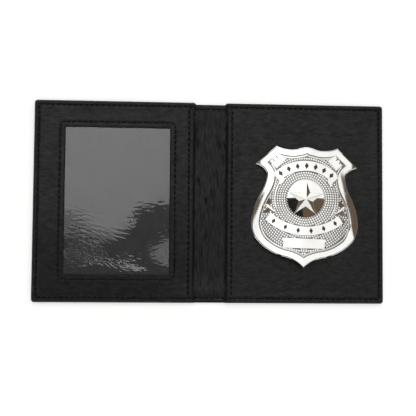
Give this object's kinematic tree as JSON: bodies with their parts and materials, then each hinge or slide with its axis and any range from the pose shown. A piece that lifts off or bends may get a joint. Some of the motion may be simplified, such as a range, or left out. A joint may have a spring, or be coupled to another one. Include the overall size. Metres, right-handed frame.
{
  "type": "id badge wallet",
  "caption": "Bifold black leather wallet lying open, with a clear card window on one half and an arched silver shield badge pinned to the other.",
  "frame": {"origin": "centre of the flat back of the open wallet, on the surface it lies on", "axes": "+X from the window half to the badge half, +Y up the page along the fold, +Z out of the open wallet's inner faces"},
  "size_m": [0.1976, 0.113, 0.0122],
  "materials": {
    "cover_leather": "fine grained, satin",
    "panel_leather": "smooth, satin",
    "lining": "creased, satin",
    "board": "matt",
    "thread": "waxed",
    "film": "clear, glossy",
    "badge_metal": "polished",
    "enamel": "glossy",
    "pin_metal": "bright plated",
    "needle_steel": "satin"
  },
  "bodies": {
    "badge_side": {"badge_cover": "cover_leather", "badge_board": "board", "badge_lining": "lining", "badge_panel": "panel_leather", "badge_edge_stitching": "thread", "badge_mouth_stitching": "thread", "badge_shield": "badge_metal", "badge_enamel": "enamel", "badge_seal": "badge_metal", "badge_star": "badge_metal", "pin_hinge_bracket": "pin_metal", "pin_rivet": "pin_metal", "pin_needle": "needle_steel", "catch_housing": "pin_metal"},
    "safety_catch": {"catch_collar": "pin_metal"},
    "fold_strip_1": {"spine_cover_1": "cover_leather", "spine_lining_1": "lining", "spine_stitching_1": "thread"},
    "fold_strip_2": {"spine_cover_2": "cover_leather", "spine_lining_2": "lining", "spine_stitching_2": "thread"},
    "fold_strip_3": {"spine_cover_3": "cover_leather", "spine_lining_3": "lining", "spine_stitching_3": "thread"},
    "fold_strip_4": {"spine_cover_4": "cover_leather", "spine_lining_4": "lining", "spine_stitching_4": "thread"},
    "window_side": {"window_cover": "cover_leather", "window_board": "board", "window_lining": "lining", "window_film": "film", "window_panel": "panel_leather", "window_edge_stitching": "thread", "window_mouth_stitching": "thread", "window_seam_stitching": "thread"}
  },
  "joints": [
    {"name": "fold_1", "type": "hinge", "parent": "badge_side", "child": "fold_strip_1", "pos_m": [0.0094, 0, 0.0022], "axis": [0, 1, 0], "range_deg": [0, 36]},
    {"name": "fold_2", "type": "hinge", "parent": "fold_strip_1", "child": "fold_strip_2", "pos_m": [0.0047, 0, 0.0022], "axis": [0, 1, 0], "range_deg": [0, 36]},
    {"name": "fold_3", "type": "hinge", "parent": "fold_strip_2", "child": "fold_strip_3", "pos_m": [0, 0, 0.0022], "axis": [0, 1, 0], "range_deg": [0, 36]},
    {"name": "fold_4", "type": "hinge", "parent": "fold_strip_3", "child": "fold_strip_4", "pos_m": [-0.0047, 0, 0.0022], "axis": [0, 1, 0], "range_deg": [0, 36]},
    {"name": "fold_5", "type": "hinge", "parent": "fold_strip_4", "child": "window_side", "pos_m": [-0.0094, 0, 0.0022], "axis": [0, 1, 0], "range_deg": [0, 36]},
    {"name": "catch_turn", "type": "hinge", "parent": "badge_side", "child": "safety_catch", "pos_m": [0.05237, -0.01779, 0.0052], "axis": [-0.0314, -0.9995, 0], "range_deg": [0, 90]}
  ]
}
